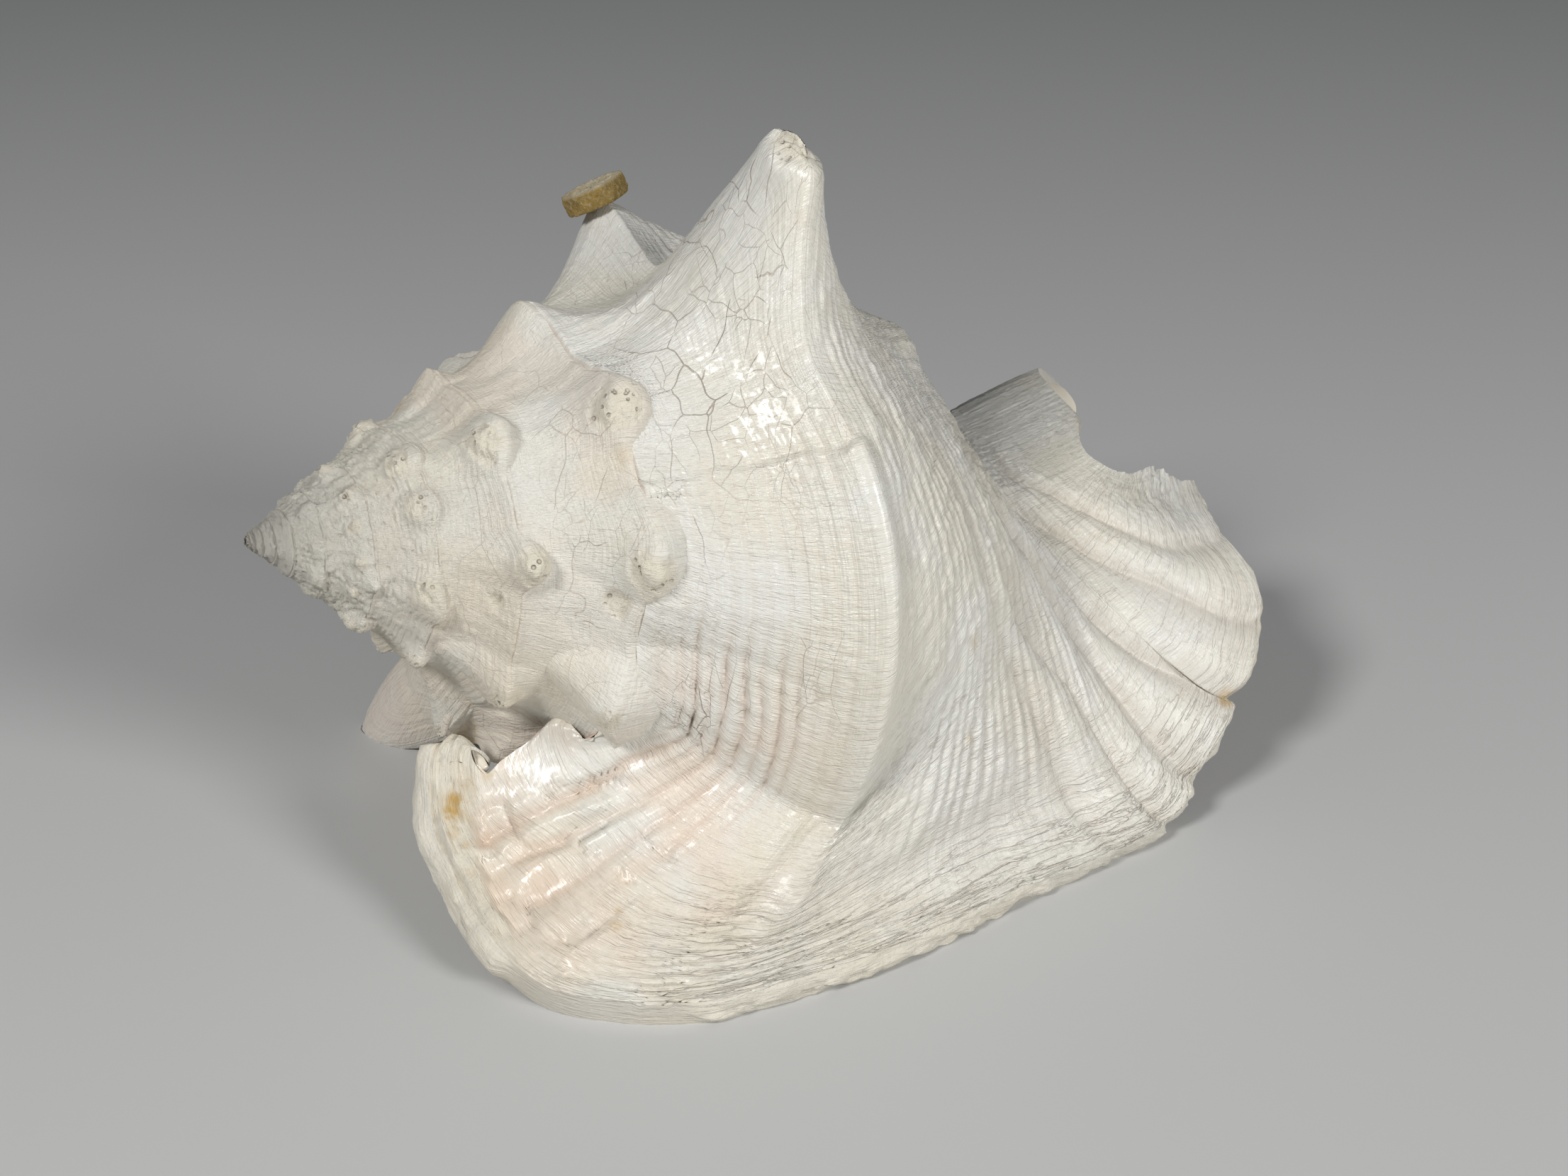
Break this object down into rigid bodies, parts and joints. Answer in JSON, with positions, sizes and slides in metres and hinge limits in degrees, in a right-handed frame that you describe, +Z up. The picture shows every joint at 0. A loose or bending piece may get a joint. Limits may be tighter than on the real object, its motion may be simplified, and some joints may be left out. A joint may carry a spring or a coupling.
{
  "type": "queen conch shell",
  "caption": "Large spired sea shell lying on its flared lip, with blunt spines, an open aperture beneath and a small felt disc stuck on one spine.",
  "frame": {"origin": "centre of the bounding box's underside, on the surface the shell rests on", "axes": "+X from the spire's tip to the canal end, -Y towards the flared lip, +Z up"},
  "size_m": [0.2009, 0.1501, 0.1397],
  "materials": {
    "shell": "grown lime shell, satin to glossy, chalky where worn",
    "felt": "pressed felt, matt"
  },
  "bodies": {
    "root": {"conch_shell": "shell", "felt_pad": "felt"}
  },
  "joints": []
}
